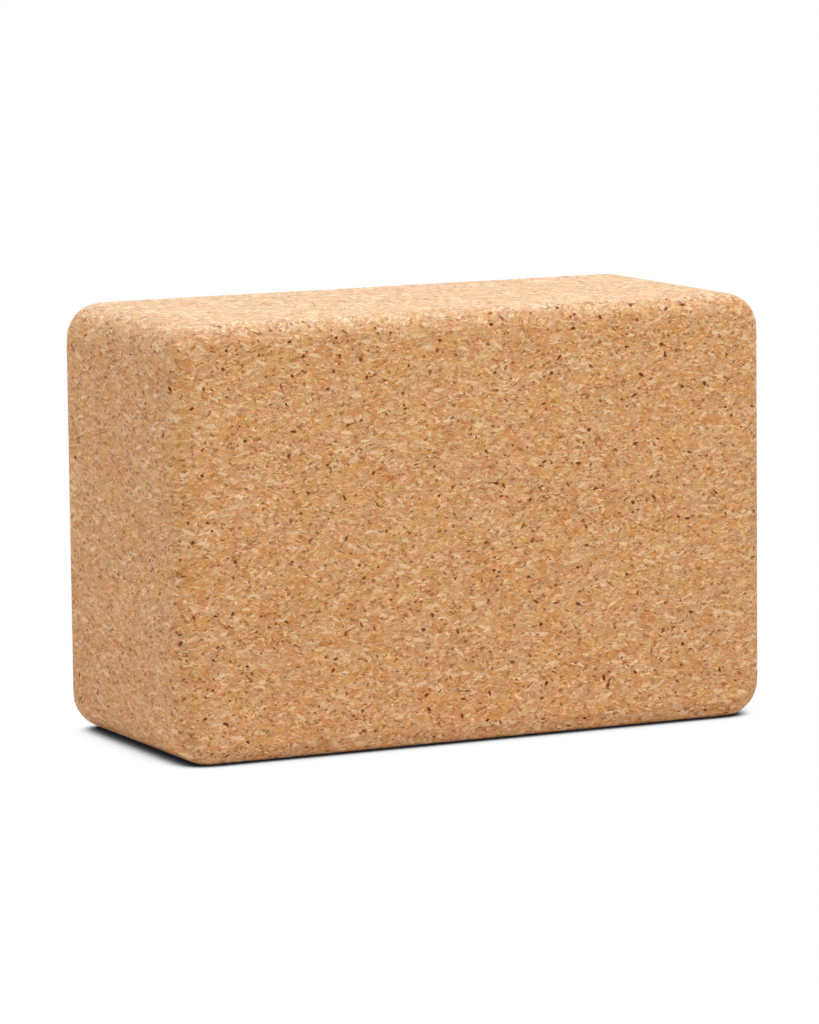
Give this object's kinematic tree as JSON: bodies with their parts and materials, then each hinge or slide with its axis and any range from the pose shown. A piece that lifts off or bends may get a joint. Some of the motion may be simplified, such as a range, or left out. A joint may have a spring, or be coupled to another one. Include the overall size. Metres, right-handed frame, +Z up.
{
  "type": "yoga block",
  "caption": "Brick-shaped yoga block of solid agglomerated cork with rounded corners and edges, for hands, seat or back to rest on in a pose.",
  "frame": {"origin": "middle of the long narrow face that the block stands on in the picture", "axes": "+X along the length, +Y along the thickness from the front face to the back face, +Z up"},
  "size_m": [0.2286, 0.1016, 0.1524],
  "materials": {
    "cork": "matte"
  },
  "bodies": {
    "root": {"cork_block": "cork"}
  },
  "joints": []
}
